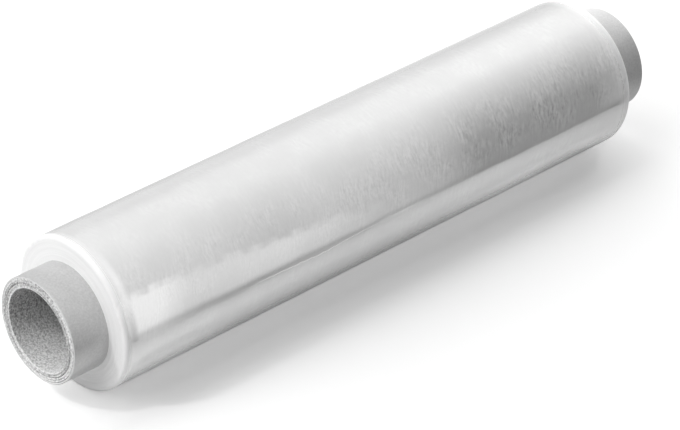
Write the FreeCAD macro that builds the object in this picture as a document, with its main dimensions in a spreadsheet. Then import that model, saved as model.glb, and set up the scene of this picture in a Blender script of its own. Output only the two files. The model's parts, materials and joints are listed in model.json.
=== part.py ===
"""Stretch wrap roll: a web of clear film wound on a paper core, lying on its side.

Millimetres. +X runs along the roll, +Z is up, and the origin lies on the floor under the middle of the core.
The near end is the one towards -X, and the front is the side towards -Y, where the free end of the film lies.
"""

import FreeCAD, Part
import os
from math import cos, radians, sin

import Sketcher

# Driving dimensions, in millimetres, degrees or a plain count
DIMENSIONS = (
    ("core_bore_diameter", 50, "inside of the paper core"),
    ("core_wall", 7, "thickness of the wound paper"),
    ("core_length", 450, "core from cut end to cut end"),
    ("core_lip_wear", 0.5, "bevel worn on the four lips of the cut ends"),
    ("ply_line_count", 4, "glue lines between plies that show on a cut end"),
    ("ply_line_width", 0.3, "width of a glue line"),
    ("ply_line_depth", 0.4, "how far the saw opened a glue line"),
    ("film_width", 400, "width of the wound web"),
    ("film_build", 14.7, "thickness of all the turns together"),
    ("film_edge_round", 3, "rounding where the last turns draw in"),
    ("near_overhang", 24, "core that stands out at the near end"),
    ("turn_band_count", 6, "bands of uneven turns on a film end"),
    ("turn_band_depth", 0.25, "how far the turns in the middle of a band lie back"),
    ("bared_strip", 1, "turns below that show beside the outermost turn"),
    ("outer_turn_lift", 0.1, "how far the outermost turn stands over the wound film"),
    ("tail_step_height", 0.35, "height of the free end over the turn below it"),
    ("tail_angle", 2, "free end above the level of the axis, in degrees"),
    ("flat_spot_width", 12, "flat that the soft film takes on the floor"),
)

# How a sketch numbers its own origin and upright axis, and the points of a line or an arc
ORIGIN, UPRIGHT_AXIS = -1, -2
START, END, MIDDLE = range(1, 4)

# Radii and places that several pieces share, as expressions on the sheet
BORE_RADIUS = "sizes.core_bore_diameter / 2"
CORE_RADIUS = f"({BORE_RADIUS} + sizes.core_wall)"
FILM_RADIUS = f"({CORE_RADIUS} + sizes.film_build)"
WOUND_RADIUS = f"({FILM_RADIUS} - sizes.outer_turn_lift)"
AXIS_HEIGHT = f"sqrt({FILM_RADIUS} ^ 2 - (sizes.flat_spot_width / 2) ^ 2)"
FILM_CENTRE = "sizes.near_overhang + sizes.film_width / 2 - sizes.core_length / 2"


def make_sheet(document):
    """The driving dimensions: name, value and meaning, one to a row."""
    sheet = document.addObject("Spreadsheet::Sheet", "sizes")
    for row, (alias, value, meaning) in enumerate(DIMENSIONS, start=1):
        sheet.set(f"A{row}", alias)
        sheet.set(f"B{row}", str(value))
        sheet.set(f"C{row}", meaning)
        sheet.setAlias(f"B{row}", alias)
    document.recompute()
    return sheet


def make_body(document, label, place_x):
    """An empty body whose own X axis is the roll's axis."""
    body = document.addObject("PartDesign::Body", label)
    body.Label = label
    body.setExpression("Placement.Base.x", place_x)
    body.setExpression("Placement.Base.z", AXIS_HEIGHT)
    return body


def origin_part(body, role):
    """One of the body's own axes and planes."""
    return (next(item for item in body.Origin.OriginFeatures if item.Role == role), [""])


def cross_sketch(body, name, place_x="0"):
    """A sketch square to the roll: its x is the row's Y, its y is the row's Z, and it faces +X."""
    sketch = body.newObject("Sketcher::SketchObject", name)
    sketch.AttachmentSupport = origin_part(body, "YZ_Plane")
    sketch.MapMode = "FlatFace"
    sketch.setExpression("AttachmentOffset.Base.z", place_x)
    return sketch


def radial_sketch(body, name, place_x):
    """A sketch through the axis: x runs along the roll from place_x, and y is the distance from the axis."""
    sketch = body.newObject("Sketcher::SketchObject", name)
    sketch.AttachmentSupport = origin_part(body, "XZ_Plane")
    sketch.MapMode = "FlatFace"
    sketch.setExpression("AttachmentOffset.Base.x", place_x)
    return sketch


def bind(sketch, name, expression, *constraint):
    """Add a dimension to the sketch, give it a name and tie it to the sheet."""
    number = sketch.addConstraint(Sketcher.Constraint(*constraint))
    sketch.renameConstraint(number, name)
    sketch.setExpression(f"Constraints.{name}", expression)


def add_circle(sketch, name, radius):
    """A circle round the roll's axis."""
    start_radius = sketch.evalExpression(radius)
    axis = FreeCAD.Vector(0, 0, 0)
    circle = sketch.addGeometry(Part.Circle(axis, FreeCAD.Vector(0, 0, 1), start_radius))
    sketch.addConstraint(Sketcher.Constraint("Coincident", circle, MIDDLE, ORIGIN, START))
    bind(sketch, name, radius, "Radius", circle, start_radius)


def draw_ply_lines(sketch, count):
    """Narrow rings that part the core's wall evenly."""
    for i in range(count):
        middle = f"{BORE_RADIUS} + sizes.core_wall * {i + 1} / (sizes.ply_line_count + 1)"
        add_circle(sketch, f"line_{i}_inner", f"{middle} - sizes.ply_line_width / 2")
        add_circle(sketch, f"line_{i}_outer", f"{middle} + sizes.ply_line_width / 2")


def add_lines(sketch, corners):
    """Straight lines from corner to corner."""
    points = [FreeCAD.Vector(x, y, 0) for x, y in corners]
    return [sketch.addGeometry(Part.LineSegment(start, end)) for start, end in zip(points, points[1:])]


def pad_both_ways(body, sketch, name, length):
    pad = body.newObject("PartDesign::Pad", name)
    pad.Profile = sketch
    pad.Midplane = True
    pad.setExpression("Length", length)
    return pad


def round_edges(pad):
    """The circular edges of a pad, as a table from their names to their radii."""
    radii = {}
    for number, edge in enumerate(pad.Shape.Edges, start=1):
        if isinstance(edge.Curve, Part.Circle):
            radii[f"Edge{number}"] = edge.Curve.Radius
    return radii


def mirror_to_far_end(body, near_end):
    both = body.newObject("PartDesign::Mirrored", f"{near_end.Name}_both_ends")
    both.Originals = [near_end]
    both.MirrorPlane = origin_part(body, "YZ_Plane")
    body.Tip = both


def make_core_tube(document, sheet):
    """The paper core: a wound tube with worn lips and open glue lines on its two cut ends."""
    body = make_body(document, "core_tube", "0")

    wall = cross_sketch(body, "core_wall_section")
    add_circle(wall, "bore", BORE_RADIUS)
    add_circle(wall, "outside", CORE_RADIUS)
    tube = pad_both_ways(body, wall, "wound_paper", "sizes.core_length")
    document.recompute()
    lips = body.newObject("PartDesign::Chamfer", "worn_lips")
    lips.Base = (tube, list(round_edges(tube)))
    lips.setExpression("Size", "sizes.core_lip_wear")

    lines = cross_sketch(body, "ply_line_rings", "-sizes.core_length / 2")
    draw_ply_lines(lines, int(sheet.ply_line_count))
    opened = body.newObject("PartDesign::Pocket", "ply_lines")
    opened.Profile = lines
    opened.Reversed = True
    opened.setExpression("Length", "sizes.ply_line_depth")
    mirror_to_far_end(body, opened)
    return body


def draw_turn_bands(sketch, sheet):
    """A zigzag up the film's end face, from crest to valley to crest, closed by three lines outside it."""
    pitch = "(sizes.film_build - sizes.film_edge_round) / (sizes.turn_band_count + 0.5)"
    depth = sheet.turn_band_depth
    points = []
    for i in range(2 * int(sheet.turn_band_count) + 1):
        height = f"{CORE_RADIUS} + {pitch} * {i / 2 + 0.25}"
        points.append((i % 2 * depth, sketch.evalExpression(height), height))
    low, high = points[0][1], points[-1][1]
    zigzag = add_lines(sketch, [(x, y) for x, y, _ in points])
    outside = add_lines(sketch, [(0, high), (-depth, high), (-depth, low), (0, low)])
    outline = zigzag + outside
    for line, following in zip(outline, outline[1:] + outline[:1]):
        sketch.addConstraint(Sketcher.Constraint("Coincident", line, END, following, START))

    for i, (x, y, height) in enumerate(points):
        line, point = (zigzag[i], START) if i < len(zigzag) else (zigzag[-1], END)
        bind(sketch, f"height_{i}", height, "DistanceY", ORIGIN, START, line, point, y)
        if i % 2:
            bind(sketch, f"depth_{i}", "sizes.turn_band_depth", "DistanceX", ORIGIN, START, line, point, x)
        else:
            sketch.addConstraint(Sketcher.Constraint("PointOnObject", line, point, UPRIGHT_AXIS))
    for kind, line in zip(("Horizontal", "Vertical", "Horizontal"), outside):
        sketch.addConstraint(Sketcher.Constraint(kind, line))
    bind(sketch, "clear", "sizes.turn_band_depth", "DistanceX", outside[1], START, ORIGIN, START, depth)


def draw_outer_turn(sketch, sheet):
    """The outermost turn seen from its end.

    Below, it is an arc round the axis. From the point opposite the free end it climbs over the top on an arc
    whose centre lies half a step towards the free end, so it ends one step proud. There a short line drops to
    the turn below.
    """
    radius = sketch.evalExpression(FILM_RADIUS)
    step = sheet.tail_step_height
    angle = radians(180 - sheet.tail_angle)
    towards_tail = FreeCAD.Vector(cos(angle), sin(angle), 0)
    top = FreeCAD.Vector(0, 1, 0) * (radius + step / 2) + towards_tail * step / 2
    bottom = FreeCAD.Vector(0, -radius, 0)
    opposite = towards_tail * -radius
    foot = towards_tail * radius
    tail = towards_tail * (radius + step)

    # Both arcs run counter-clockwise: from the back over the top, and from the front under the roll
    over = sketch.addGeometry(Part.Arc(opposite, top, tail))
    under = sketch.addGeometry(Part.Arc(foot, bottom, opposite))
    drop = sketch.addGeometry(Part.LineSegment(tail, foot))
    spoke = sketch.addGeometry(Part.LineSegment(opposite, tail), True)
    for constraint in (
        ("Coincident", under, MIDDLE, ORIGIN, START),
        ("Coincident", over, START, under, END),
        ("Coincident", drop, START, over, END),
        ("Coincident", drop, END, under, START),
        ("Coincident", spoke, START, under, END),
        ("Coincident", spoke, END, over, END),
        ("PointOnObject", ORIGIN, START, spoke),
        ("PointOnObject", under, START, spoke),
        ("PointOnObject", over, MIDDLE, spoke),
    ):
        sketch.addConstraint(Sketcher.Constraint(*constraint))
    bind(sketch, "under_radius", FILM_RADIUS, "Radius", under, radius)
    climbing = f"{FILM_RADIUS} + sizes.tail_step_height / 2"
    bind(sketch, "over_radius", climbing, "Radius", over, radius + step / 2)
    bind(sketch, "tail_direction", "180 deg - sizes.tail_angle * 1 deg", "Angle", spoke, angle)


def draw_flat_cut(sketch, sheet):
    """What the floor presses flat: a box whose top lies at the floor's level, twice as wide as the flat."""
    under_film = f"{FILM_RADIUS} + sizes.tail_step_height"
    floor = sketch.evalExpression(AXIS_HEIGHT)
    below = sketch.evalExpression(under_film)
    half = sheet.flat_spot_width
    corners = [(-half, -floor), (half, -floor), (half, -below), (-half, -below), (-half, -floor)]
    sides = add_lines(sketch, corners)
    for side, following in zip(sides, sides[1:] + sides[:1]):
        sketch.addConstraint(Sketcher.Constraint("Coincident", side, END, following, START))
    top, right, bottom, left = sides
    # The top is level because its two ends mirror each other
    sketch.addConstraint(Sketcher.Constraint("Symmetric", top, START, top, END, UPRIGHT_AXIS))
    for kind, side in (("Horizontal", bottom), ("Vertical", right), ("Vertical", left)):
        sketch.addConstraint(Sketcher.Constraint(kind, side))
    bind(sketch, "width", "2 * sizes.flat_spot_width", "DistanceX", top, START, top, END, 2 * half)
    bind(sketch, "floor_level", AXIS_HEIGHT, "DistanceY", top, START, ORIGIN, START, floor)
    bind(sketch, "under_film", under_film, "DistanceY", left, START, ORIGIN, START, below)


def make_film_roll(document, sheet):
    """The film: all its turns as one wound solid, with the outermost turn and its free end on top."""
    body = make_body(document, "film_roll", FILM_CENTRE)

    wound = cross_sketch(body, "wound_film_section")
    add_circle(wound, "on_core", CORE_RADIUS)
    add_circle(wound, "outside", WOUND_RADIUS)
    film = pad_both_ways(body, wound, "wound_film", "sizes.film_width")
    document.recompute()
    edges = round_edges(film)
    drawn_in = body.newObject("PartDesign::Fillet", "drawn_in_edges")
    drawn_in.Base = (film, [name for name, radius in edges.items() if radius > min(edges.values())])
    drawn_in.setExpression("Radius", "sizes.film_edge_round")

    valleys = radial_sketch(body, "turn_band_section", "-sizes.film_width / 2")
    draw_turn_bands(valleys, sheet)
    bands = body.newObject("PartDesign::Groove", "turn_bands")
    bands.Profile = valleys
    bands.ReferenceAxis = origin_part(body, "X_Axis")
    mirror_to_far_end(body, bands)

    # The outermost turn is drawn as a thick sleeve, whose inside lies halfway into the wound film
    turn = cross_sketch(body, "outer_turn_section")
    draw_outer_turn(turn, sheet)
    add_circle(turn, "inside", f"{CORE_RADIUS} + sizes.film_build / 2")
    turn_width = "sizes.film_width - 2 * (sizes.film_edge_round + sizes.bared_strip)"
    pad_both_ways(body, turn, "outer_turn", turn_width)

    flat = cross_sketch(body, "flat_spot_section")
    draw_flat_cut(flat, sheet)
    spot = body.newObject("PartDesign::Pocket", "flat_spot")
    spot.Profile = flat
    spot.Midplane = True
    spot.Type = "ThroughAll"
    return body


def main():
    document = FreeCAD.newDocument("stretch_wrap_roll")
    sheet = make_sheet(document)
    bodies = [make_core_tube(document, sheet), make_film_roll(document, sheet)]
    document.recompute()

    for item in document.Objects:
        if {"Invalid", "Error"} & set(item.State):
            raise RuntimeError(f"{item.Label} failed: {item.State}")
    for body in bodies:
        if body.Shape.isNull() or not body.Shape.isValid():
            raise RuntimeError(f"{body.Label} has no valid shape")
    os.makedirs("parts", exist_ok=True)
    for body in bodies:
        body.Shape.exportStep(f"parts/{body.Label}.step")
        print(body.Label, len(body.Shape.Solids), "solid,", round(body.Shape.Volume), "cubic mm")


main()
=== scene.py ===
"""Stretch wrap roll: the film and its paper core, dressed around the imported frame, with a pale studio stage.

Metres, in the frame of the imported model: +X along the roll, +Z up, the floor at zero. An angle round the roll
is measured from the front (-Y) over the top (+Z).
"""

import json
from math import cos, pi, radians, sin

import bmesh
import bpy
import numpy as np
from bpy.props import FloatProperty, FloatVectorProperty, IntProperty, PointerProperty
from mathutils import Matrix, Vector


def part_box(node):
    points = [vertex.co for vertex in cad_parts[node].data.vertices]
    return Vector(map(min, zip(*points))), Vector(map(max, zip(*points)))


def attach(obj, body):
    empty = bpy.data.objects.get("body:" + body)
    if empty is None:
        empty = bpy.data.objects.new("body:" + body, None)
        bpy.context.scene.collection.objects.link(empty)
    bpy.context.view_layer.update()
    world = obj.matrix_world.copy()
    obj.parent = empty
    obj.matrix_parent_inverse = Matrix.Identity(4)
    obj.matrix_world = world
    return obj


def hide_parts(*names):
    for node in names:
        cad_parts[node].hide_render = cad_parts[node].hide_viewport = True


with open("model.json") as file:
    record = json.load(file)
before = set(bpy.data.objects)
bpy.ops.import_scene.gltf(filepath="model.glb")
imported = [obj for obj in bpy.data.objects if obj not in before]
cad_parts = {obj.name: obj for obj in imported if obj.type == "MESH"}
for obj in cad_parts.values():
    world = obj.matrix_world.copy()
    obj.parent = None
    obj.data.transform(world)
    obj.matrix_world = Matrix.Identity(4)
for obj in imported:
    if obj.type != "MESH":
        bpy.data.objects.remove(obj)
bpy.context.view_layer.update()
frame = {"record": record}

bl_info = {
    "name": "Stretch Wrap Roll",
    "version": (1, 0, 0),
    "blender": (4, 5, 0),
    "location": "3D View > Sidebar > Stretch Wrap",
    "description": "Winds stretch film on a paper core and sets it on a pale studio floor",
    "category": "Object",
}

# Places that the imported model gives
CORE_LOW, CORE_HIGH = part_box("core_tube")
FILM_LOW, FILM_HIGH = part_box("film_roll")
MOUNTS = {mount["name"]: mount for mount in frame["record"]["mounts"]}
AXIS_HEIGHT = (CORE_LOW.z + CORE_HIGH.z) / 2
CORE_RADIUS = (CORE_HIGH.z - CORE_LOW.z) / 2
BORE_RADIUS = MOUNTS["core_bore"]["dims"]["r_mm"] / 1000
FILM_MIDDLE = (FILM_LOW.x + FILM_HIGH.x) / 2
FILM_HALF = (FILM_HIGH.x - FILM_LOW.x) / 2

PHOTO_WIDTH = 680
MM = 0.001

# Where the usual values of a noise lie, and the angle from which an edge is sharp
NOISE_SPAN = (0.3, 0.7)
SHARP_FROM = radians(40)

# The floor's half width, and the middle and the focus of the broad light on dull surfaces
FLOOR_REACH = 4.0
SKY_MIDDLE = (0, 0.8, 0.6)
SKY_FOCUS = 1.5


class FilmSettings(bpy.types.PropertyGroup):
    """Sizes and colours of the wound film."""

    edge_round: FloatProperty(
        name="Edge round",
        description="Rounding where the last turns draw in at the two ends",
        default=3 * MM,
        subtype="DISTANCE",
    )
    bared_strip: FloatProperty(
        name="Bared strip",
        description="Width of the turns below that show beside the outermost turn",
        default=1 * MM,
        subtype="DISTANCE",
    )
    outer_turn_lift: FloatProperty(
        name="Outer turn lift",
        description="How far the outermost turn stands over the wound film",
        default=0.06 * MM,
        subtype="DISTANCE",
    )
    tail_step: FloatProperty(
        name="Tail step",
        description="Height of the free end over the turn below it",
        default=0.35 * MM,
        subtype="DISTANCE",
    )
    tail_angle: FloatProperty(
        name="Tail angle",
        description="Where the free end lies, above the level of the axis",
        default=radians(2),
        subtype="ANGLE",
    )
    tail_wander: FloatProperty(
        name="Tail wander",
        description="How far the free end strays from a straight line",
        default=0.3 * MM,
        subtype="DISTANCE",
    )
    tail_rag: FloatProperty(
        name="Tail rag",
        description="How ragged the free end is",
        default=0.16 * MM,
        subtype="DISTANCE",
    )
    tail_bow: FloatProperty(
        name="Tail bow",
        description="How far the middle of the free end hangs below its two ends",
        default=2 * MM,
        subtype="DISTANCE",
    )
    tail_curl: FloatProperty(
        name="Tail curl",
        description="Thickness of the curled edge of the free end",
        default=0.2 * MM,
        subtype="DISTANCE",
    )
    flat_spot_width: FloatProperty(
        name="Flat spot",
        description="Width of the flat that the film takes on the floor",
        default=12 * MM,
        subtype="DISTANCE",
    )
    end_relief: FloatProperty(
        name="End relief",
        description="How far the turns lie back where the ends of the roll are uneven",
        default=0.12 * MM,
        subtype="DISTANCE",
    )
    slack: FloatProperty(
        name="Slack",
        description="Height of the soft waves in the outermost turn",
        default=0.05 * MM,
        subtype="DISTANCE",
    )
    band_height: FloatProperty(
        name="Stretch bands",
        description="Height of the narrow bands that the stretch leaves round the roll",
        default=0.008 * MM,
        subtype="DISTANCE",
    )
    colour: FloatVectorProperty(
        name="Film",
        description="Colour of many clear turns on each other",
        default=(0.9, 0.9, 0.9),
        subtype="COLOR",
    )
    sheen: FloatProperty(
        name="Sheen",
        description="Share of light that the stacked turns throw back like a mirror",
        default=0.6,
        subtype="FACTOR",
    )


class CoreSettings(bpy.types.PropertyGroup):
    """Sizes and colours of the paper core."""

    lip_wear: FloatProperty(
        name="Lip wear",
        description="Bevel worn on the lips of the cut ends",
        default=0.5 * MM,
        subtype="DISTANCE",
    )
    ply_count: IntProperty(
        name="Plies",
        description="Plies of paper that show on a cut end",
        default=5,
    )
    ply_relief: FloatProperty(
        name="Ply relief",
        description="How far the plies stand apart on a cut end",
        default=0.7 * MM,
        subtype="DISTANCE",
    )
    seam_pitch: FloatProperty(
        name="Seam pitch",
        description="How far a ply's seam runs along the core in one turn",
        default=96 * MM,
        subtype="DISTANCE",
    )
    seam_depth: FloatProperty(
        name="Seam depth",
        description="Depth of the groove between two edges of a ply",
        default=0.08 * MM,
        subtype="DISTANCE",
    )
    paper_waves: FloatProperty(
        name="Paper waves",
        description="Height of the soft waves in the core's wall",
        default=0.03 * MM,
        subtype="DISTANCE",
    )
    outside: FloatVectorProperty(
        name="Outside",
        description="Colour of the smooth outer ply",
        default=(0.57, 0.57, 0.57),
        subtype="COLOR",
    )
    board: FloatVectorProperty(
        name="Board",
        description="Colour of the grey board in the cut ends and the bore",
        default=(0.55, 0.55, 0.55),
        subtype="COLOR",
    )
    outer_ply: FloatVectorProperty(
        name="Outer ply",
        description="Colour of the cut edge of the white outer ply",
        default=(0.68, 0.68, 0.68),
        subtype="COLOR",
    )


class StageSettings(bpy.types.PropertyGroup):
    """The camera, the lights and the floor."""

    camera_place: FloatVectorProperty(
        name="Camera",
        description="Where the camera stands",
        default=(-1.16024, -1.24843, 1.08496),
        subtype="XYZ",
    )
    camera_azimuth: FloatProperty(
        name="Azimuth",
        description="Which way the camera looks, from +Y towards -X",
        default=radians(-42.913),
        subtype="ANGLE",
    )
    camera_elevation: FloatProperty(
        name="Elevation",
        description="How far the camera looks down",
        default=radians(31.862),
        subtype="ANGLE",
    )
    focal_pixels: FloatProperty(
        name="Focal length",
        description="Focal length in pixels of the photograph's width",
        default=3421.2,
    )
    ambient: FloatProperty(
        name="Ambient",
        description="Light from all round on dull surfaces",
        default=0.33,
    )
    sky: FloatProperty(
        name="Sky",
        description="Broad light from behind and above on dull surfaces",
        default=1.47,
    )
    surround: FloatProperty(
        name="Surround",
        description="Brightness of the room that shows in gloss",
        default=0.9,
    )
    left_power: FloatProperty(
        name="Left light",
        description="Power of the soft light over the near end",
        default=6.2,
        unit="POWER",
    )
    right_power: FloatProperty(
        name="Right light",
        description="Power of the soft light over the far end",
        default=4.1,
        unit="POWER",
    )
    near_end_power: FloatProperty(
        name="Near end light",
        description="Power of the spot on the near end",
        default=14.0,
        unit="POWER",
    )
    far_end_power: FloatProperty(
        name="Far end light",
        description="Power of the spot on the far end",
        default=4.0,
        unit="POWER",
    )
    glow: FloatProperty(
        name="Glow",
        description="Light that comes through the film to the floor beside it",
        default=0.3,
    )


# Numbers over a grid


def ramp(value, start, end):
    """0 at start, 1 at end, straight between them and held outside."""
    return np.clip((value - start) / (end - start), 0, 1)


def bell(value, middle, reach):
    """1 at the middle, falling off to both sides as e to the minus square of the distance over reach."""
    return np.exp(-(((value - middle) / reach) ** 2))


def blend(value, other, share):
    """The value, carried to the other one by the share."""
    return value + (other - value) * share


def waves(along, around, seed, count, longest, shortest, most_round):
    """A smooth random height, about -1 to 1.

    The sum of count cosine waves over the square root of their count. Each has a wavelength along the roll
    between longest and shortest, a whole number of waves round it up to most_round, and a random phase, so
    the height closes on itself round the roll.
    """
    random = np.random.default_rng(seed)
    height = np.zeros(np.broadcast(along, around).shape)
    for _ in range(count):
        length = longest * (shortest / longest) ** random.random()
        lobes = random.integers(-most_round, most_round + 1)
        height += np.cos(2 * pi * along / length + lobes * around + random.random() * 2 * pi)
    return height / np.sqrt(count)


# Meshes


def round_axis(x, radius, angle):
    """Points round the roll's axis: y = -radius * cos(angle), z = AXIS_HEIGHT + radius * sin(angle)."""
    x, radius, angle = np.broadcast_arrays(x, radius, angle)
    return np.stack([x, -radius * np.cos(angle), AXIS_HEIGHT + radius * np.sin(angle)], axis=-1)


def grid_mesh(name, points, closed=False):
    """Four-sided faces over a grid of points, between rows i and i + 1 and columns j and j + 1.

    A closed grid also joins its last row and its last column to the first ones.
    """
    rows, columns = points.shape[:2]
    number = np.arange(rows * columns).reshape(rows, columns)
    if closed:
        number = np.pad(number, ((0, 1), (0, 1)), mode="wrap")
    corners = [number[:-1, :-1], number[1:, :-1], number[1:, 1:], number[:-1, 1:]]
    mesh = bpy.data.meshes.new(name)
    mesh.from_pydata(points.reshape(-1, 3), [], np.stack(corners, axis=-1).reshape(-1, 4))
    return mesh


def place(name, mesh, *materials):
    """An object at the origin that wears the materials."""
    for material in materials:
        mesh.materials.append(material)
    thing = bpy.data.objects.new(name, mesh)
    bpy.context.scene.collection.objects.link(thing)
    return thing


def paint_faces(mesh, slots):
    """Give each row of faces its material slot: slots has one number for each row."""
    columns = len(mesh.polygons) // len(slots)
    mesh.polygons.foreach_set("material_index", np.repeat(slots, columns).astype(np.int32))


def merge_doubles(mesh, distance):
    """Merge the points that lie on each other, so that no face is left without width."""
    merged = bmesh.new()
    merged.from_mesh(mesh)
    bmesh.ops.remove_doubles(merged, verts=merged.verts, dist=distance)
    merged.to_mesh(mesh)
    merged.free()


def smooth_with_sharp(mesh):
    """Smooth shading, but sharp where two faces meet at more than SHARP_FROM."""
    mesh.shade_smooth()
    mesh.set_sharp_from_angle(angle=SHARP_FROM)


# Shader nodes


def feed(tree, socket, value):
    """Give a socket a plain number, or a link from another socket."""
    if isinstance(value, (int, float)):
        socket.default_value = value
    else:
        tree.links.new(value, socket)


def add_math(tree, operation, *values):
    """A Math node: each value is a number or a socket."""
    node = tree.nodes.new("ShaderNodeMath")
    node.operation = operation
    for socket, value in zip(node.inputs, values):
        feed(tree, socket, value)
    return node.outputs[0]


def multiply(tree, first, *others):
    """The product of the values."""
    for other in others:
        first = add_math(tree, "MULTIPLY", first, other)
    return first


def add(tree, first, *others):
    """The sum of the values."""
    for other in others:
        first = add_math(tree, "ADD", first, other)
    return first


def add_noise(tree, where, scale, detail, roughness=0.5):
    """A Noise Texture over the coordinates, from 0 to 1."""
    node = tree.nodes.new("ShaderNodeTexNoise")
    node.inputs["Detail"].default_value = detail
    node.inputs["Roughness"].default_value = roughness
    feed(tree, node.inputs["Scale"], scale)
    tree.links.new(where, node.inputs["Vector"])
    return node.outputs["Fac"]


def add_range(tree, value, low, high, new_low, new_high):
    """Carry low..high of the value to new_low..new_high, held at both ends."""
    node = tree.nodes.new("ShaderNodeMapRange")
    labels = ("Value", "From Min", "From Max", "To Min", "To Max")
    for label, given in zip(labels, (value, low, high, new_low, new_high)):
        feed(tree, node.inputs[label], given)
    return node.outputs["Result"]


def add_tones(tree, factor, dark, light):
    """A colour between dark and light."""
    node = tree.nodes.new("ShaderNodeMix")
    node.data_type = "RGBA"
    node.inputs["A"].default_value = (*dark, 1)
    node.inputs["B"].default_value = (*light, 1)
    tree.links.new(factor, node.inputs["Factor"])
    return node.outputs["Result"]


def split_axes(tree, vector):
    """The three coordinates of a vector."""
    parts = tree.nodes.new("ShaderNodeSeparateXYZ")
    tree.links.new(vector, parts.inputs["Vector"])
    return parts.outputs["X"], parts.outputs["Y"], parts.outputs["Z"]


def join_axes(tree, *values):
    """A vector from its three coordinates."""
    parts = tree.nodes.new("ShaderNodeCombineXYZ")
    for socket, value in zip(parts.inputs, values):
        tree.links.new(value, socket)
    return parts.outputs["Vector"]


# Shader node groups


def new_group(name, inputs, outputs):
    """A shader node group with named inputs (name, kind, default) and outputs (name, kind)."""
    group = bpy.data.node_groups.new(name, "ShaderNodeTree")
    for label, kind, default in inputs:
        socket = group.interface.new_socket(label, in_out="INPUT", socket_type=kind)
        if default is not None:
            socket.default_value = default
    for label, kind in outputs:
        group.interface.new_socket(label, in_out="OUTPUT", socket_type=kind)
    return group, group.nodes.new("NodeGroupInput").outputs, group.nodes.new("NodeGroupOutput").inputs


def streak_group():
    """Streaks that run round the roll: noise drawn out round it, fine along it, over a broader haze.

    Skew is how far a streak leans along the roll for its rise, and Bend how far the haze shifts it along the
    roll. Streak is drawn out round the roll, Haze is soft and broad, and Grain is fine and even all ways.
    """
    name = "Wound Streaks"
    if name in bpy.data.node_groups:
        return bpy.data.node_groups[name]
    inputs = (
        ("Vector", "NodeSocketVector", None),
        ("Fine", "NodeSocketFloat", 620.0),
        ("Round", "NodeSocketFloat", 165.0),
        ("Broad", "NodeSocketFloat", 55.0),
        ("Skew", "NodeSocketFloat", 0.16),
        ("Bend", "NodeSocketFloat", 8 * MM),
    )
    outputs = (("Streak", "NodeSocketFloat"), ("Haze", "NodeSocketFloat"), ("Grain", "NodeSocketFloat"))
    group, given, result = new_group(name, inputs, outputs)
    where = given["Vector"]
    x, y, z = split_axes(group, where)
    haze = add_noise(group, where, given["Broad"], detail=2.0)
    leaned = add_math(group, "SUBTRACT", x, multiply(group, z, given["Skew"]))
    bent = add_math(group, "MULTIPLY_ADD", haze, given["Bend"], leaned)
    drawn = join_axes(
        group,
        multiply(group, bent, given["Fine"]),
        multiply(group, y, given["Round"]),
        multiply(group, z, given["Round"]),
    )
    group.links.new(haze, result["Haze"])
    group.links.new(add_noise(group, drawn, scale=1.0, detail=3.0), result["Streak"])
    group.links.new(add_noise(group, where, scale=430.0, detail=2.0), result["Grain"])
    return group


def turn_group():
    """Rings round the axis, for the ends of a roll: noise over the distance from the axis, and a soft mottle.

    Drift is how fast the rings change on their way round.
    """
    name = "Turn Rings"
    if name in bpy.data.node_groups:
        return bpy.data.node_groups[name]
    inputs = (
        ("Vector", "NodeSocketVector", None),
        ("Axis Height", "NodeSocketFloat", AXIS_HEIGHT),
        ("Pitch", "NodeSocketFloat", 1500.0),
        ("Drift", "NodeSocketFloat", 20.0),
    )
    outputs = (("Ring", "NodeSocketFloat"), ("Mottle", "NodeSocketFloat"), ("Radius", "NodeSocketFloat"))
    group, given, result = new_group(name, inputs, outputs)
    _, y, z = split_axes(group, given["Vector"])
    height = add_math(group, "SUBTRACT", z, given["Axis Height"])
    radius = add_math(group, "SQRT", add(group, multiply(group, height, height), multiply(group, y, y)))
    in_turns = join_axes(
        group,
        multiply(group, radius, given["Pitch"]),
        multiply(group, y, given["Drift"]),
        multiply(group, height, given["Drift"]),
    )
    group.links.new(radius, result["Radius"])
    group.links.new(add_noise(group, in_turns, scale=1.0, detail=3.0), result["Ring"])
    group.links.new(add_noise(group, given["Vector"], scale=70.0, detail=3.0), result["Mottle"])
    return group


def fibre_group():
    """Recycled paper: short fibres and a cloudy tone."""
    name = "Paper Fibre"
    if name in bpy.data.node_groups:
        return bpy.data.node_groups[name]
    inputs = (
        ("Vector", "NodeSocketVector", None),
        ("Fibre", "NodeSocketFloat", 900.0),
        ("Cloud", "NodeSocketFloat", 120.0),
    )
    outputs = (("Fibre", "NodeSocketFloat"), ("Cloud", "NodeSocketFloat"))
    group, given, result = new_group(name, inputs, outputs)
    for label, detail in (("Fibre", 4.0), ("Cloud", 5.0)):
        noise = add_noise(group, given["Vector"], given[label], detail, roughness=0.6)
        group.links.new(noise, result[label])
    return group


# Materials


def new_material(name):
    """A material with a Principled BSDF, and the Object coordinates for its patterns."""
    material = bpy.data.materials.new(name)
    material.use_nodes = True
    tree = material.node_tree
    coordinates = tree.nodes.new("ShaderNodeTexCoord")
    return material, tree, tree.nodes["Principled BSDF"], coordinates.outputs["Object"]


def set_inputs(node, **values):
    """Plain values on the node's own sockets, with _ for each space in a socket's name."""
    for label, value in values.items():
        node.inputs[label.replace("_", " ")].default_value = value


def add_group(tree, group, where, **values):
    """A node group over the coordinates, with plain values on its inputs."""
    node = tree.nodes.new("ShaderNodeGroup")
    node.node_tree = group
    tree.links.new(where, node.inputs["Vector"])
    set_inputs(node, **values)
    return node.outputs


def add_bump(tree, shader, height, distance):
    """A bump that is distance high where the height is 1."""
    bump = tree.nodes.new("ShaderNodeBump")
    bump.inputs["Distance"].default_value = distance
    tree.links.new(height, bump.inputs["Height"])
    tree.links.new(bump.outputs["Normal"], shader.inputs["Normal"])


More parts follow.
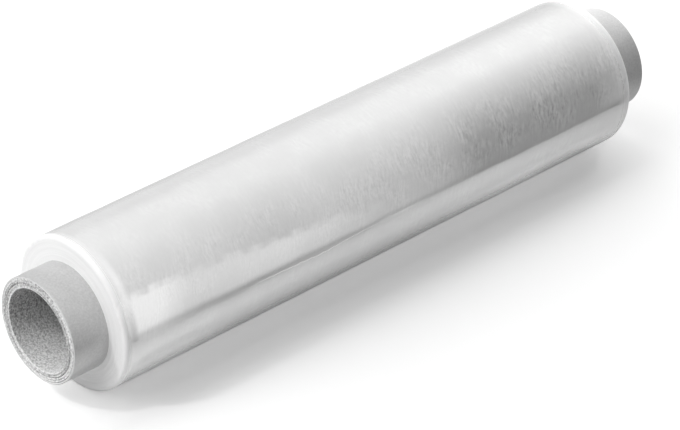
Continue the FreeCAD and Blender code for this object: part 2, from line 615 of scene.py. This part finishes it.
def film_barrel(settings):
    """Stacked clear film seen square on: silver white and glossy, streaked round the roll.

    The streaks are strongest on the upper flanks, more so at the far end, and faint on top and below. A haze
    dulls the film towards its two edges, and its rounded corners are as dull as the edges of the turns.
    """
    material, tree, shader, where = new_material("film_barrel")
    set_inputs(shader, Coat_Weight=0.35, Coat_Roughness=0.04, IOR=1.5)
    streaks = add_group(tree, streak_group(), where)
    x, _, z = split_axes(tree, where)

    # Haze at the two edges and on the corners
    from_middle = add_math(tree, "ABSOLUTE", add_math(tree, "SUBTRACT", x, FILM_MIDDLE))
    near_edge = add_range(tree, x, FILM_LOW.x + 3 * MM, FILM_LOW.x + 6.5 * MM, 0.17, 0.0)
    far_edge = add_range(tree, x, FILM_HIGH.x - 12 * MM, FILM_HIGH.x - 4 * MM, 0.0, 0.22)
    corner = add_range(tree, from_middle, FILM_HALF - 3.5 * MM, FILM_HALF - 1.2 * MM, 0.0, 0.3)
    haze = add(tree, near_edge, far_edge, corner)

    # Where the streaks are strong
    rise = add_range(tree, z, AXIS_HEIGHT + 2 * MM, AXIS_HEIGHT + 14 * MM, 0.12, 1.0)
    fall = add_range(tree, z, AXIS_HEIGHT + 26 * MM, AXIS_HEIGHT + 40 * MM, 1.0, 0.12)
    side = add_range(tree, x, -0.1, 0.1, 0.95, 1.35)
    patch = add_range(tree, streaks["Haze"], 0.4, 0.62, 0.3, 1.5)
    strength = multiply(tree, rise, fall, side, patch)

    # The streak swings about its middle, 0.5, as fine does about 0.55
    fine = add(tree, multiply(tree, streaks["Streak"], 0.75), multiply(tree, streaks["Grain"], 0.35))
    swing = multiply(tree, add_math(tree, "SUBTRACT", fine, 0.55), strength)
    streak = add(tree, swing, 0.5)

    pale = Vector(settings.colour)
    cloud = add_range(tree, streaks["Haze"], *NOISE_SPAN, 0.35, 0.85)
    tone = add(tree, multiply(tree, swing, 3.2), cloud)
    tree.links.new(add_tones(tree, tone, pale * 0.94, pale * 1.035), shader.inputs["Base Color"])
    sheen = add_range(tree, streak, 0.25, 0.75, settings.sheen + 0.12, settings.sheen - 0.12)
    tree.links.new(add_math(tree, "SUBTRACT", sheen, haze), shader.inputs["Metallic"])
    dullness = add_range(tree, streak, *NOISE_SPAN, 0.08, 0.16)
    tree.links.new(add(tree, dullness, haze), shader.inputs["Roughness"])
    add_bump(tree, shader, streak, 0.025 * MM)
    return material


def film_end(settings):
    """The edges of the turns: milky, with faint rings."""
    material, tree, shader, where = new_material("film_end")
    set_inputs(shader, Coat_Weight=0.2, Coat_Roughness=0.25, IOR=1.5)
    rings = add_group(tree, turn_group(), where)
    pale = Vector(settings.colour)
    tone = add_range(tree, rings["Ring"], *NOISE_SPAN, 0.0, 1.0)
    tree.links.new(add_tones(tree, tone, pale * 0.98, pale * 1.05), shader.inputs["Base Color"])
    dullness = add_range(tree, rings["Mottle"], *NOISE_SPAN, 0.35, 0.5)
    tree.links.new(dullness, shader.inputs["Roughness"])
    add_bump(tree, shader, rings["Ring"], 0.02 * MM)
    return material


def core_outside(settings):
    """The outer ply: smooth grey paper with a satin face and a faint grain."""
    material, tree, shader, where = new_material("core_outside")
    set_inputs(shader, Metallic=0.38, IOR=1.45)
    paper = add_group(tree, fibre_group(), where, Fibre=850.0, Cloud=60.0)
    grey = Vector(settings.outside)
    grain = add(tree, multiply(tree, paper["Fibre"], 0.7), multiply(tree, paper["Cloud"], 0.3))
    tone = add_range(tree, grain, 0.35, 0.65, 0.0, 1.0)
    tree.links.new(add_tones(tree, tone, grey * 0.88, grey * 1.1), shader.inputs["Base Color"])
    dullness = add_range(tree, paper["Fibre"], *NOISE_SPAN, 0.3, 0.45)
    tree.links.new(dullness, shader.inputs["Roughness"])
    add_bump(tree, shader, paper["Fibre"], 0.04 * MM)
    return material


def core_cut(settings):
    """The sawn ends: rings of board with torn fibres between them, inside a white outer ply."""
    material, tree, shader, where = new_material("core_cut")
    set_inputs(shader, Roughness=0.85)
    paper = add_group(tree, fibre_group(), where, Fibre=1300.0, Cloud=800.0)
    rings = add_group(tree, turn_group(), where, Pitch=1050.0)
    board = Vector(settings.board)
    torn = multiply(tree, add(tree, rings["Ring"], paper["Cloud"]), 0.5)
    tone = add_range(tree, torn, 0.39, 0.6, 0.0, 1.0)
    in_outer_ply = add_range(tree, rings["Radius"], CORE_RADIUS - 1.3 * MM, CORE_RADIUS - 0.9 * MM, 0.0, 1.0)
    choice = tree.nodes.new("ShaderNodeMix")
    choice.data_type = "RGBA"
    choice.inputs["B"].default_value = (*settings.outer_ply, 1)
    tree.links.new(in_outer_ply, choice.inputs["Factor"])
    tree.links.new(add_tones(tree, tone, board * 0.45, board * 1.65), choice.inputs["A"])
    tree.links.new(choice.outputs["Result"], shader.inputs["Base Color"])
    add_bump(tree, shader, torn, 0.5 * MM)
    return material


def core_bore(settings):
    """The inner ply: recycled board, mottled and rough, with painted light that makes its lower side paler."""
    material, tree, shader, where = new_material("core_bore")
    set_inputs(shader, Roughness=0.8)
    paper = add_group(tree, fibre_group(), where, Cloud=950.0)
    _, _, z = split_axes(tree, where)
    board = Vector(settings.board)
    # Painted light: the lower side of the bore is painted paler, for the light that falls in through its open
    # ends
    painted_light_below = add_range(tree, z, AXIS_HEIGHT - 22 * MM, AXIS_HEIGHT, 0.45, 0.0)
    tone = add(tree, add_range(tree, paper["Cloud"], 0.36, 0.64, -0.08, 0.68), painted_light_below)
    tree.links.new(add_tones(tree, tone, board * 0.36, board * 1.6), shader.inputs["Base Color"])
    add_bump(tree, shader, paper["Cloud"], 0.4 * MM)
    return material


# Pieces


def wind_film(settings):
    """The wound film as one closed surface, ring by ring.

    The rings go from the core out over the near end, along the barrel and back down the far end. Round the
    roll the steps start at the free end and end at the turn below it, so the last step back to the first is
    the drop off the free end. A point's distance from the axis is the profile's radius, plus the climb of the
    outermost turn, half a cosine from the middle of the back to the free end, plus waves of slack.
    """
    film_radius = np.hypot(AXIS_HEIGHT, settings.flat_spot_width / 2)

    # The steps round the roll are close where the free end curls
    curl_steps = np.array([0, 0.2, 0.4, 0.6, 0.8, 1, 1.3, 1.7, 2.2, 3]) * MM / film_radius
    other_steps = np.linspace(4 * MM / film_radius, 2 * pi, 215)
    turn = np.append(curl_steps, other_steps)[None, :]

    wound = film_radius - settings.outer_turn_lift
    face_top = wound - settings.edge_round
    turn_half = FILM_HALF - settings.edge_round - settings.bared_strip
    face_rings, corner_rings, barrel_rings = 24, 8, 360

    # Half the profile, from the core out: how far in from the end, and the radius of the wound film
    corner = np.linspace(0, pi / 2, corner_rings + 1)[1:]
    inset = np.concatenate([np.zeros(face_rings), settings.edge_round * (1 - np.cos(corner))])
    face = np.linspace(CORE_RADIUS, face_top, face_rings)
    radius = np.concatenate([face, face_top + settings.edge_round * np.sin(corner)])
    barrel = np.linspace(-turn_half, turn_half, barrel_rings)
    x = np.concatenate([inset - FILM_HALF, barrel, (FILM_HALF - inset)[::-1]])[:, None]
    base = np.concatenate([radius, np.full(barrel_rings, wound), radius[::-1]])[:, None]
    outer = ramp(np.abs(x), turn_half + 0.2 * MM, turn_half - 5.8 * MM)
    outer = outer * outer * (3 - 2 * outer)

    # The free end wanders and bows and is a little ragged, and the film near it follows
    follow_angle = 0.35
    nearness = np.exp(-np.minimum(turn, 2 * pi - turn) / follow_angle)
    bow = settings.tail_bow * bell(x, -0.06, 0.055)
    wander = settings.tail_wander * waves(x, 0 * x, 5, 5, 0.2, 0.03, 0)
    ragged = settings.tail_rag * waves(x, 0 * x, 7, 12, 0.025, 0.004, 0)
    angle = settings.tail_angle + turn + (wander + ragged - bow) / film_radius * nearness

    # The outermost turn climbs over the top to the free end, which curls
    climb = np.where(turn < pi, (1 + np.cos(turn)) / 2, 0)
    curl_size = settings.tail_curl * (0.35 + 0.65 * bow / settings.tail_bow)
    curl_place = np.clip(turn * film_radius / np.maximum(2.2 * curl_size, 0.1 * MM), 0, 1)
    curl = curl_size * np.sin(pi * np.sqrt(curl_place))

    # Slack and stretch leave soft waves
    slack = settings.slack * waves(x, angle, 11, 14, 0.2, 0.03, 3)
    bands = settings.band_height * waves(x, angle, 13, 40, 0.02, 0.004, 12)
    lift = outer * (settings.outer_turn_lift + settings.tail_step * climb + slack + bands + curl)

    # Uneven turns on the two ends
    face_edge = 0.5 * MM
    on_face = ramp(base, face_top, face_top - face_edge) * ramp(base, CORE_RADIUS, CORE_RADIUS + face_edge)
    uneven = (1 + waves(base, angle, 23, 9, 8 * MM, 1.6 * MM, 1)) / 2
    sunk = settings.end_relief * np.clip(uneven, 0, 1) * on_face
    along = x - np.sign(x) * sunk

    # The floor presses the lowest film flat
    height = np.maximum((base + lift) * np.sin(angle), -AXIS_HEIGHT)
    across = (base + lift) * np.cos(angle)
    points = round_axis(FILM_MIDDLE + along, np.hypot(height, across), np.arctan2(height, across))

    mesh = grid_mesh("wound_film", points, closed=True)
    barrel_slot, end_slot = 0, 1
    slots = np.full(x.size, barrel_slot)
    slots[:face_rings - 1] = end_slot
    slots[-face_rings:] = end_slot
    paint_faces(mesh, slots)
    merge_doubles(mesh, 0.001 * MM)
    smooth_with_sharp(mesh)
    return place("wound_film", mesh, film_barrel(settings), film_end(settings))


def wind_core(settings):
    """The paper core as one closed surface: out over a cut end, along the outside, back through the bore.

    The rings go over a cut end with a bevel of lip_rings on each lip. A seam is a groove whose distance from
    a point is that point's distance along the roll from a line that moves on by seam_pitch for each turn.
    """
    steps, cut_rings, lip_rings, side_rings = 288, 46, 2, 90
    around = np.linspace(0, 2 * pi, steps, endpoint=False)[None, :]
    half = (CORE_HIGH.x - CORE_LOW.x) / 2
    wear = settings.lip_wear
    cut = np.linspace(BORE_RADIUS + wear, CORE_RADIUS - wear, cut_rings)
    bevel = np.linspace(0, wear, lip_rings + 1)
    end_radius = np.concatenate([BORE_RADIUS + bevel[:-1], cut, CORE_RADIUS - wear + bevel[1:]])
    end_inset = np.concatenate([(wear - bevel)[:-1], np.zeros(cut_rings), bevel[1:]])
    outside = np.linspace(-half + wear, half - wear, side_rings + 2)[1:-1]

    x = np.concatenate([end_inset - half, outside, (half - end_inset)[::-1], -outside])[:, None]
    core_side, bore_side = np.full(side_rings, CORE_RADIUS), np.full(side_rings, BORE_RADIUS)
    radius = np.concatenate([end_radius, core_side, end_radius[::-1], bore_side])[:, None]

    # On the cut ends the plies stand apart, more so at the lower front, and the saw left them rough
    on_end = half - np.abs(x) < 0.1 * MM
    share = (radius - BORE_RADIUS) / (CORE_RADIUS - BORE_RADIUS)
    shift = 0.18 * waves(0 * share, around, 31, 4, 1, 1, 3)
    ply = np.abs(np.sin(pi * (share * settings.ply_count + shift))) ** 0.4
    opened = 1 + 0.9 * np.exp(2.2 * (np.cos(around + radians(45)) - 1))
    rough = waves(radius, around, 37, 60, 2.5 * MM, 0.6 * MM, 90)
    sunk = settings.ply_relief * (1 - ply) * 0.8 * opened + 0.07 * MM * (rough + 1.5)
    x = x - np.sign(x) * np.where(on_end, np.clip(sunk, 0, 1 * MM), 0)

    # A shallow seam winds along the outside, and another along the bore
    pitch = settings.seam_pitch
    outer_seam = np.abs((x / pitch + around / (2 * pi) + 0.35) % 1 - 0.5) * pitch
    inner_seam = np.abs((x / pitch + around / (2 * pi) + 0.8) % 1 - 0.5) * pitch
    is_outside = radius > (BORE_RADIUS + CORE_RADIUS) / 2
    inwards = np.where(is_outside, -1, 1)
    depth = settings.seam_depth * bell(np.where(is_outside, outer_seam, inner_seam), 0, 1.2 * MM)
    radius = radius + np.where(on_end, 0, inwards * depth)
    radius = radius + settings.paper_waves * waves(x, around, 41, 12, 0.1, 0.01, 6) * ~on_end

    mesh = grid_mesh("paper_core", round_axis(x, radius, around), closed=True)
    outside_slot, cut_slot, bore_slot = 0, 1, 2
    end_rings = end_radius.size
    far_end = end_rings + side_rings
    slots = np.full(x.shape[0], outside_slot)
    slots[0] = bore_slot
    slots[1:end_rings - lip_rings] = cut_slot
    slots[far_end + 1:far_end + end_rings - lip_rings] = cut_slot
    slots[far_end + end_rings - lip_rings:] = bore_slot
    paint_faces(mesh, slots)
    smooth_with_sharp(mesh)
    return place("paper_core", mesh, core_outside(settings), core_cut(settings), core_bore(settings))


# Stage


def floor_material(glow_strength):
    """A white floor for the camera and in gloss, which keeps the shadow, and a greyer one for bounced light.

    In gloss its tone is a painted reflection on the film: greyer in front and past the far end, and paler close
    under the film's two ends. A faint glow beside the roll stands for the light that comes through the film.
    """
    material = bpy.data.materials.new("floor")
    material.use_nodes = True
    tree = material.node_tree
    tree.nodes.clear()
    dull = tree.nodes.new("ShaderNodeBsdfDiffuse")
    white = tree.nodes.new("ShaderNodeBsdfDiffuse")
    glow = tree.nodes.new("ShaderNodeEmission")
    seen_dull_or_white = tree.nodes.new("ShaderNodeMixShader")
    with_glow = tree.nodes.new("ShaderNodeAddShader")
    out = tree.nodes.new("ShaderNodeOutputMaterial")
    path = tree.nodes.new("ShaderNodeLightPath").outputs
    x, y, _ = split_axes(tree, tree.nodes.new("ShaderNodeTexCoord").outputs["Object"])

    dull.inputs["Color"].default_value = (0.6, 0.6, 0.6, 1)
    # Painted reflection: in gloss the floor is painted greyer in front and past the far end, and paler just in
    # front of the roll
    front = add_range(tree, y, -0.1, -0.06, 0.56, 0.95)
    past_end = multiply(
        tree,
        add_range(tree, x, 0.14, 0.22, 1.0, 0.66),
        add_range(tree, x, 0.252, 0.268, 1.0, 0.4),
    )
    close = multiply(
        tree,
        add_range(tree, y, -0.056, -0.042, 0.0, 1.0),
        add_range(tree, y, -0.031, -0.021, 1.0, 0.0),
    )
    paler = add(
        tree,
        add_range(tree, x, -0.14, -0.1, 0.36, 0.06),
        add_range(tree, x, 0.03, 0.12, 0.0, 0.48),
        add_range(tree, x, 0.185, 0.235, 0.0, -0.5),
    )
    painted_reflection_tone = multiply(tree, add_math(tree, "MULTIPLY_ADD", close, paler, front), past_end)
    not_camera = add_math(tree, "SUBTRACT", 1.0, path["Is Camera Ray"])
    shown = add_math(tree, "MULTIPLY_ADD", painted_reflection_tone, not_camera, path["Is Camera Ray"])
    tree.links.new(shown, white.inputs["Color"])

    beside = add_range(tree, add_math(tree, "ABSOLUTE", y), 0.02, 0.05, 1.0, 0.0)
    along = add_range(tree, add_math(tree, "ABSOLUTE", x), 0.2, 0.24, glow_strength, 0.0)
    tree.links.new(multiply(tree, beside, along, path["Is Camera Ray"]), glow.inputs["Strength"])

    seen = add_math(tree, "MAXIMUM", path["Is Camera Ray"], path["Is Glossy Ray"])
    tree.links.new(seen, seen_dull_or_white.inputs["Fac"])
    tree.links.new(dull.outputs[0], seen_dull_or_white.inputs[1])
    tree.links.new(white.outputs[0], seen_dull_or_white.inputs[2])
    tree.links.new(seen_dull_or_white.outputs[0], with_glow.inputs[0])
    tree.links.new(glow.outputs[0], with_glow.inputs[1])
    tree.links.new(with_glow.outputs[0], out.inputs["Surface"])
    return material


def make_floor(settings):
    """A flat floor round the roll."""
    edge = np.array([-FLOOR_REACH, FLOOR_REACH])
    x, y = np.meshgrid(edge, edge, indexing="ij")
    mesh = grid_mesh("floor", np.stack([x, y, 0 * x], axis=-1))
    floor = place("floor", mesh, floor_material(settings.glow))


def card_material():
    """A card that glows by its own tone."""
    material = bpy.data.materials.new("gloss_card")
    material.use_nodes = True
    tree = material.node_tree
    tree.nodes.clear()
    glow = tree.nodes.new("ShaderNodeEmission")
    tone = tree.nodes.new("ShaderNodeAttribute")
    tone.attribute_name = "tone"
    out = tree.nodes.new("ShaderNodeOutputMaterial")
    tree.links.new(tone.outputs["Fac"], glow.inputs["Strength"])
    tree.links.new(glow.outputs[0], out.inputs["Surface"])
    return material


# How far the gloss card stands from the roll's axis, and its tones: places along the roll, then values
CARD_REACH = ((-0.12, -0.08, 0.03, 0.05, 0.1, 0.2), (0.113, 0.109, 0.109, 0.113, 0.113, 0.110))
CARD_GREY = (
    (-0.11, -0.043, -0.01, 0.024, 0.057, 0.09, 0.125, 0.225, 0.25),
    (0.68, 0.54, 0.62, 0.56, 0.52, 0.43, 0.19, 0.165, 0.38),
)
CARD_TOP = ((-0.1, 0.2), (0.82, 0.98))
RISE_POWER = ((0, 0.1), (1.4, 1.22))
WEDGE_TOP = (
    (-0.134, -0.085, -0.042, -0.01, 0.018, 0.041, 0.07, 0.09),
    (29.6, 23.9, 15.8, 11.5, 4, -2, -11, -22),
)
WEDGE_TONE = ((-0.134, -0.11, -0.083, -0.04, 0.024, 0.06), (1.15, 0.82, 0.83, 0.87, 0.67, 0.58))
FOOT_TOP = ((-0.13, -0.09, 0, 0.03), (28 * MM, 25 * MM, 22 * MM, 18.5 * MM))
FOOT_TONE = (
    (-0.133, -0.103, -0.063, -0.015, 0.057, 0.097, 0.123),
    (0.62, 0.4, 0.31, 0.36, 0.33, 0.28, 0.15),
)

# More of the card's tones: degrees round the roll from the front, then values
BACK_AT_LEFT = ((104, 121, 138, 156, 175, 190), (1, 0.92, 0.72, 0.76, 0.63, 1))
BACK_AT_RIGHT = ((104, 121, 138, 156, 175, 190), (1, 0.92, 0.68, 0.57, 0.7, 1))
NEAR_END = ((-24, -3, 23, 49, 75, 101, 128, 155, 184), (0.1, 0.45, 0.95, 1.2, 1.1, 0.88, 0.54, 0.44, 0.42))
FAR_END = ((-24, -3, 23, 49, 75, 101, 128, 155, 184), (0, 0.05, 0.15, 0.4, 1.1, 1.75, 2.1, 2, 1.7))


def make_gloss_card():
    """A curved card round the roll: its gloss shows a dark side, a pale wedge, a dark foot and a bright top.

    The card bends round the roll's axis, from the floor in front over the top to the back, 109 to 113 mm from
    it. Its tone is a grey that darkens to the right and rises to white overhead, with the wedge laid over it.
    """
    x = np.linspace(-0.45, 0.75, 601)[None, :]
    share = np.linspace(0, 1, 241)[:, None]
    reach = np.interp(x, *CARD_REACH)
    foot = -np.arcsin(AXIS_HEIGHT / reach)
    angle = foot + (radians(190) - foot) * share
    points = round_axis(x, reach, angle)
    height = points[..., 2]
    degrees = np.degrees(angle)

    # Grey in front, darker to the right, rising to white overhead and falling towards the back
    rise = ramp(degrees, 16, 90) ** np.interp(x, *RISE_POWER)
    tone = blend(np.interp(x, *CARD_GREY), np.interp(x, *CARD_TOP), rise)
    left, right = np.interp(degrees, *BACK_AT_LEFT), np.interp(degrees, *BACK_AT_RIGHT)
    tone = tone * blend(left, right, ramp(x, -0.1, 0.2))

    # The pale wedge, with a ragged upper edge
    edge = np.interp(x, *WEDGE_TOP) + 4.2 * np.tanh(2 * waves(x, 0 * x, 61, 14, 0.04, 0.004, 0))
    pale = np.interp(x, *WEDGE_TONE) * (1 - 0.12 * ramp(degrees, 4, -12))
    tone = blend(tone, pale, ramp(degrees, edge, edge - 1.2))

    # The dark foot, with a thin darker line along it and a light gap
    border = np.interp(x, *FOOT_TOP)
    tone = blend(tone, np.interp(x, *FOOT_TONE), ramp(height, border, border - 11 * MM))
    line = bell(height, 10.5 * MM, 1.7 * MM) - 0.5 * bell(height, 6 * MM, 1 * MM)
    uneven = 1 + 0.6 * waves(x, 0 * x, 67, 8, 0.02, 0.004, 0)
    tone = tone - 0.09 * line * ramp(x, 0.05, 0.03) * uneven
    tone = blend(tone, 0.75, bell(x, 0.057, 0.02) * ramp(height, 6.5 * MM, 4 * MM))

    # What the two ends of the core reflect
    tone = blend(tone, np.interp(degrees, *NEAR_END), ramp(x, -0.15, -0.174))
    tone = blend(tone, np.interp(degrees, *FAR_END), ramp(x, 0.27, 0.284))
    tone = np.clip(tone, 0.02, None).astype(np.float32)

    mesh = grid_mesh("gloss_card", points)
    mesh.attributes.new("tone", "FLOAT", "POINT").data.foreach_set("value", tone.ravel())
    card = place("gloss_card", mesh, card_material())
    card.visible_camera = False
    card.visible_diffuse = False
    card.visible_shadow = False
    card.visible_transmission = False
    card.visible_volume_scatter = False


def hang_lamp(name, kind, lamp_place, target, power):
    """A lamp that points at its target."""
    light = bpy.data.lights.new(name, kind)
    light.energy = power
    lamp = bpy.data.objects.new(name, light)
    lamp.location = lamp_place
    lamp.rotation_euler = (Vector(lamp_place) - Vector(target)).to_track_quat("Z", "Y").to_euler()
    bpy.context.scene.collection.objects.link(lamp)
    return light


def make_lights(settings):
    """Two soft lights over the ends of the roll, and a narrow spot on each end."""
    for name, lamp_place, power in (
        ("left_light", (-1.15, 0.1, 1.1), settings.left_power),
        ("right_light", (1.15, 0.1, 1.1), settings.right_power),
    ):
        soft = hang_lamp(name, "AREA", lamp_place, (0, 0, 0), power)
        soft.size = 0.9
    for name, lamp_place, target, power in (
        ("near_end_light", (-1.02, 0.25, 1.04), (-0.24, -0.02, 0.025), settings.near_end_power),
        ("far_end_light", (1.02, -0.1, 1.04), (0.235, -0.04, 0), settings.far_end_power),
    ):
        spot = hang_lamp(name, "SPOT", lamp_place, target, power)
        spot.spot_size = radians(11)
        spot.spot_blend = 1
        spot.shadow_soft_size = 0.06


def make_world(settings):
    """White for the camera and pale in gloss; dull surfaces get a broad light from behind and above."""
    world = bpy.data.worlds.new("studio")
    bpy.context.scene.world = world
    world.use_nodes = True
    tree = world.node_tree
    back = tree.nodes["Background"]
    path = tree.nodes.new("ShaderNodeLightPath").outputs
    camera, gloss = path["Is Camera Ray"], path["Is Glossy Ray"]
    towards = tree.nodes.new("ShaderNodeVectorMath")
    towards.operation = "DOT_PRODUCT"
    towards.inputs[1].default_value = SKY_MIDDLE
    tree.links.new(tree.nodes.new("ShaderNodeTexCoord").outputs["Generated"], towards.inputs[0])
    glow = add_math(tree, "POWER", add_math(tree, "MAXIMUM", towards.outputs["Value"], 0.0), SKY_FOCUS)
    dull = add_math(tree, "MULTIPLY_ADD", glow, settings.sky, settings.ambient)
    seen = add_math(tree, "MULTIPLY_ADD", gloss, settings.surround, camera)
    other = add_math(tree, "SUBTRACT", 1.0, add_math(tree, "MAXIMUM", camera, gloss))
    tree.links.new(add_math(tree, "MULTIPLY_ADD", dull, other, seen), back.inputs["Strength"])
    back.inputs["Color"].default_value = (1, 1, 1, 1)


def make_camera(settings):
    """The photograph's camera, from its place, its two angles and its focal length."""
    turn, tilt = settings.camera_azimuth, settings.camera_elevation
    back = Vector((sin(turn) * cos(tilt), -cos(turn) * cos(tilt), sin(tilt)))
    right = Vector((cos(turn), sin(turn), 0))
    up = back.cross(right)
    lens = bpy.data.cameras.new("camera")
    lens.sensor_fit = "HORIZONTAL"
    lens.lens = settings.focal_pixels / PHOTO_WIDTH * lens.sensor_width
    lens.clip_end = 5 * FLOOR_REACH
    camera = bpy.data.objects.new("camera", lens)
    columns = Matrix((right, up, back)).transposed().to_4x4()
    camera.matrix_world = Matrix.Translation(settings.camera_place) @ columns
    bpy.context.scene.collection.objects.link(camera)
    bpy.context.scene.camera = camera


# Add-on


class WRAP_OT_wind_film(bpy.types.Operator):
    """Wind the stretch film on the core"""

    bl_idname = "wrap.wind_film"
    bl_label = "Wind film"

    def execute(self, context):
        film = wind_film(context.scene.wrap_film)
        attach(film, "root")
        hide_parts("film_roll")
        return {"FINISHED"}


class WRAP_OT_wind_core(bpy.types.Operator):
    """Wind the paper core and cut its ends"""

    bl_idname = "wrap.wind_core"
    bl_label = "Wind core"

    def execute(self, context):
        core = wind_core(context.scene.wrap_core)
        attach(core, "root")
        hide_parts("core_tube")
        return {"FINISHED"}


class WRAP_OT_set_stage(bpy.types.Operator):
    """Set the floor, the gloss card, the lights and the camera"""

    bl_idname = "wrap.set_stage"
    bl_label = "Set stage"

    def execute(self, context):
        settings = context.scene.wrap_stage
        make_floor(settings)
        make_gloss_card()
        make_lights(settings)
        make_world(settings)
        make_camera(settings)
        context.scene.view_settings.view_transform = "Standard"
        return {"FINISHED"}


class WRAP_PT_roll(bpy.types.Panel):
    """Sizes and colours of the roll, with one button for each piece"""

    bl_idname = "WRAP_PT_roll"
    bl_label = "Stretch wrap roll"
    bl_space_type = "VIEW_3D"
    bl_region_type = "UI"
    bl_category = "Stretch Wrap"

    def draw(self, context):
        scene = context.scene
        for settings, operator in (
            (scene.wrap_film, "wrap.wind_film"),
            (scene.wrap_core, "wrap.wind_core"),
            (scene.wrap_stage, "wrap.set_stage"),
        ):
            box = self.layout.box()
            for name in settings.__annotations__:
                box.prop(settings, name)
            box.operator(operator)


CLASSES = (
    FilmSettings,
    CoreSettings,
    StageSettings,
    WRAP_OT_wind_film,
    WRAP_OT_wind_core,
    WRAP_OT_set_stage,
    WRAP_PT_roll,
)


def register():
    """Add the settings, the operators and the panel."""
    for entry in CLASSES:
        bpy.utils.register_class(entry)
    bpy.types.Scene.wrap_film = PointerProperty(type=FilmSettings)
    bpy.types.Scene.wrap_core = PointerProperty(type=CoreSettings)
    bpy.types.Scene.wrap_stage = PointerProperty(type=StageSettings)


def unregister():
    """Take the settings, the operators and the panel out again."""
    del bpy.types.Scene.wrap_stage
    del bpy.types.Scene.wrap_core
    del bpy.types.Scene.wrap_film
    for entry in reversed(CLASSES):
        bpy.utils.unregister_class(entry)


def main():
    """Wind both pieces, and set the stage."""
    register()
    bpy.ops.wrap.wind_film()
    bpy.ops.wrap.wind_core()
    bpy.ops.wrap.set_stage()


if __name__ == "__main__":
    main()
